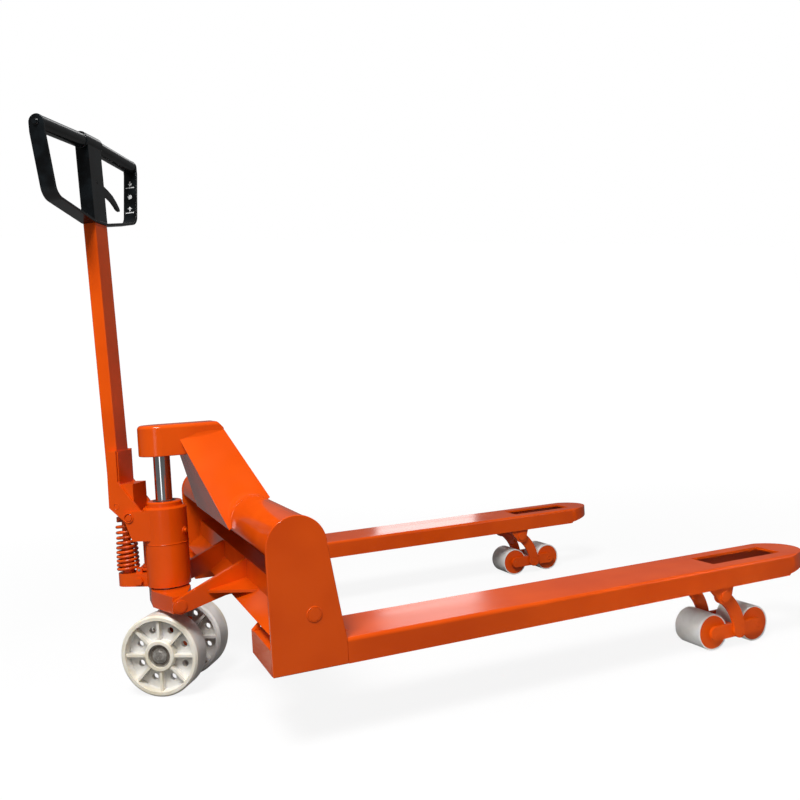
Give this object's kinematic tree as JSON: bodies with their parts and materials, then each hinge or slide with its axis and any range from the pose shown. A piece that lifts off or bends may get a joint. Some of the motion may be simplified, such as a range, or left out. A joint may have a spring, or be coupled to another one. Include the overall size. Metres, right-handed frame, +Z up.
{
  "type": "hand pallet truck",
  "caption": "Manual hydraulic hand pallet truck with long forks on tandem load rollers, a hand-pumped jack, nylon steer wheels and a tow handle that ends in a hand loop.",
  "frame": {"origin": "on the floor, under the middle of the truck's bounding box", "axes": "+X towards the fork tips, +Y to the left fork, +Z up"},
  "size_m": [1.6974, 1.047, 1.2822],
  "materials": {
    "orange_enamel": "glossy orange enamel",
    "chrome": "hard chrome",
    "bare_steel": "bare steel, lightly oiled",
    "black_enamel": "satin black enamel",
    "ivory_nylon": "moulded ivory nylon",
    "grey_nylon": "moulded pale grey nylon",
    "black_rubber": "matte black rubber"
  },
  "bodies": {
    "yoke": {"yoke": "orange_enamel", "yoke_pins": "bare_steel", "thrust_bearing": "bare_steel"},
    "frame": {"fork_right": "orange_enamel", "fork_left": "orange_enamel", "side_plate_right": "orange_enamel", "side_plate_left": "orange_enamel", "cross_cover": "orange_enamel", "gooseneck": "orange_enamel", "lift_head": "orange_enamel", "ram": "chrome", "rocker_pivot_pins": "orange_enamel", "roller_arm_pins": "orange_enamel"},
    "pump": {"pump_base": "orange_enamel", "pump_jacket": "orange_enamel", "gland_nut": "orange_enamel", "wiper_seal": "black_rubber", "axle_carrier": "orange_enamel", "steer_axle": "bare_steel", "axle_circlips": "bare_steel", "wheel_bearings": "bare_steel", "bleed_screw": "orange_enamel", "base_plug": "orange_enamel", "handle_pivot_pin": "bare_steel", "release_lever_pin": "bare_steel", "plunger_spring": "orange_enamel"},
    "plunger": {"plunger": "bare_steel"},
    "steer_wheel_right": {"steer_wheel_right": "ivory_nylon"},
    "steer_wheel_left": {"steer_wheel_left": "ivory_nylon"},
    "handle": {"handle_base": "orange_enamel", "handle_tube": "orange_enamel", "loop_strap": "black_enamel", "grip_rail": "black_enamel", "loop_post": "black_enamel", "rail_bolts": "black_enamel", "press_roller_pin": "bare_steel", "control_lever_pin": "bare_steel"},
    "press_roller": {"press_roller": "bare_steel"},
    "control_lever": {"control_lever": "black_enamel"},
    "release_rod": {"release_rod": "orange_enamel"},
    "release_lever": {"release_lever": "orange_enamel"},
    "rocker": {"rocker": "orange_enamel", "rocker_bushes": "bare_steel"},
    "push_rod_right": {"push_rod_right": "orange_enamel"},
    "roller_arm_right": {"roller_arm_right": "orange_enamel"},
    "bogie_pin_right": {"bogie_pin_right": "bare_steel"},
    "bogie_right": {"bogie_right": "orange_enamel", "roller_axles_right": "bare_steel"},
    "load_roller_right_rear": {"load_roller_right_rear": "grey_nylon"},
    "load_roller_right_front": {"load_roller_right_front": "grey_nylon"},
    "push_rod_left": {"push_rod_left": "orange_enamel"},
    "roller_arm_left": {"roller_arm_left": "orange_enamel"},
    "bogie_pin_left": {"bogie_pin_left": "bare_steel"},
    "bogie_left": {"bogie_left": "orange_enamel", "roller_axles_left": "bare_steel"},
    "load_roller_left_rear": {"load_roller_left_rear": "grey_nylon"},
    "load_roller_left_front": {"load_roller_left_front": "grey_nylon"}
  },
  "joints": [
    {"name": "lift", "type": "slide", "parent": "yoke", "child": "frame", "axis": [0, 0, -1], "range_m": [0, 0.1]},
    {"name": "steer", "type": "hinge", "parent": "yoke", "child": "pump", "pos_m": [-0.61529, 0, 0.232], "axis": [0, 0, 1], "range_deg": [-57.2, 122.8]},
    {"name": "handle_swing", "type": "hinge", "parent": "pump", "child": "handle", "pos_m": [-0.67077, 0.03575, 0.394], "axis": [-0.5417, -0.8406, 0], "range_deg": [0, 70], "stiffness_Nm_per_rad": 20, "springref_deg": -28.65},
    {"name": "plunger_stroke", "type": "slide", "parent": "pump", "child": "plunger", "axis": [0, 0, -1], "range_m": [0, 0.04812], "deforming": ["plunger_spring"]},
    {"name": "steer_wheel_right_spin", "type": "hinge", "parent": "pump", "child": "steer_wheel_right", "pos_m": [-0.64378, -0.05897, 0.091], "axis": [0.5417, 0.8406, 0], "continuous": true},
    {"name": "steer_wheel_left_spin", "type": "hinge", "parent": "pump", "child": "steer_wheel_left", "pos_m": [-0.57335, 0.0503, 0.091], "axis": [0.5417, 0.8406, 0], "continuous": true},
    {"name": "press_roller_spin", "type": "hinge", "parent": "handle", "child": "press_roller", "pos_m": [-0.69851, 0.05363, 0.42], "axis": [0.5417, 0.8406, 0], "continuous": true},
    {"name": "control_lever_tilt", "type": "hinge", "parent": "handle", "child": "control_lever", "pos_m": [-0.72413, 0.07014, 1.17073], "axis": [0.8402, -0.5415, 0.0297], "range_deg": [-12, 12]},
    {"name": "release_rod_slide", "type": "slide", "parent": "pump", "child": "release_rod", "axis": [0, 0, 1], "range_m": [-0.0012, 0.0012]},
    {"name": "release_lever_tilt", "type": "hinge", "parent": "pump", "child": "release_lever", "pos_m": [-0.67161, 0.03629, 0.267], "axis": [-0.5417, -0.8406, 0], "range_deg": [-7, 7]},
    {"name": "rocker_turn", "type": "hinge", "parent": "frame", "child": "rocker", "pos_m": [-0.42229, 0, 0.255], "axis": [0, 1, 0], "range_deg": [0, 29.83]},
    {"name": "push_rod_right_slide", "type": "slide", "parent": "frame", "child": "push_rod_right", "axis": [-1, 0, 0], "range_m": [0, 0.04422]},
    {"name": "roller_arm_right_turn", "type": "hinge", "parent": "frame", "child": "roller_arm_right", "pos_m": [0.55971, -0.446, 0.131], "axis": [0, -1, 0], "range_deg": [0, 67]},
    {"name": "bogie_pin_right_turn", "type": "hinge", "parent": "roller_arm_right", "child": "bogie_pin_right", "pos_m": [0.60954, -0.446, 0.042], "axis": [0, 1, 0], "range_deg": [0, 67]},
    {"name": "bogie_right_tilt", "type": "hinge", "parent": "bogie_pin_right", "child": "bogie_right", "pos_m": [0.60954, -0.446, 0.042], "axis": [0, 1, 0], "range_deg": [-8, 8]},
    {"name": "load_roller_right_rear_spin", "type": "hinge", "parent": "bogie_right", "child": "load_roller_right_rear", "pos_m": [0.54654, -0.446, 0.042], "axis": [0, 1, 0], "continuous": true},
    {"name": "load_roller_right_front_spin", "type": "hinge", "parent": "bogie_right", "child": "load_roller_right_front", "pos_m": [0.67254, -0.446, 0.042], "axis": [0, 1, 0], "continuous": true},
    {"name": "push_rod_left_slide", "type": "slide", "parent": "frame", "child": "push_rod_left", "axis": [-1, 0, 0], "range_m": [0, 0.04422]},
    {"name": "roller_arm_left_turn", "type": "hinge", "parent": "frame", "child": "roller_arm_left", "pos_m": [0.55971, 0.446, 0.131], "axis": [0, -1, 0], "range_deg": [0, 67]},
    {"name": "bogie_pin_left_turn", "type": "hinge", "parent": "roller_arm_left", "child": "bogie_pin_left", "pos_m": [0.60954, 0.446, 0.042], "axis": [0, 1, 0], "range_deg": [0, 67]},
    {"name": "bogie_left_tilt", "type": "hinge", "parent": "bogie_pin_left", "child": "bogie_left", "pos_m": [0.60954, 0.446, 0.042], "axis": [0, 1, 0], "range_deg": [-8, 8]},
    {"name": "load_roller_left_rear_spin", "type": "hinge", "parent": "bogie_left", "child": "load_roller_left_rear", "pos_m": [0.54654, 0.446, 0.042], "axis": [0, 1, 0], "continuous": true},
    {"name": "load_roller_left_front_spin", "type": "hinge", "parent": "bogie_left", "child": "load_roller_left_front", "pos_m": [0.67254, 0.446, 0.042], "axis": [0, 1, 0], "continuous": true}
  ],
  "couplings": [
    {"joint": "plunger_stroke", "follows": "handle_swing", "m_per_rad": 0.039384},
    {"joint": "release_rod_slide", "follows": "control_lever_tilt", "m_per_rad": 0.005},
    {"joint": "release_lever_tilt", "follows": "control_lever_tilt", "ratio": 0.5},
    {"joint": "rocker_turn", "follows": "lift", "rad_per_m": 5.1976},
    {"joint": "push_rod_right_slide", "follows": "lift", "ratio": 0.44124},
    {"joint": "roller_arm_right_turn", "follows": "lift", "rad_per_m": 11.684},
    {"joint": "bogie_pin_right_turn", "follows": "lift", "rad_per_m": 11.684},
    {"joint": "push_rod_left_slide", "follows": "lift", "ratio": 0.44124},
    {"joint": "roller_arm_left_turn", "follows": "lift", "rad_per_m": 11.684},
    {"joint": "bogie_pin_left_turn", "follows": "lift", "rad_per_m": 11.684}
  ]
}
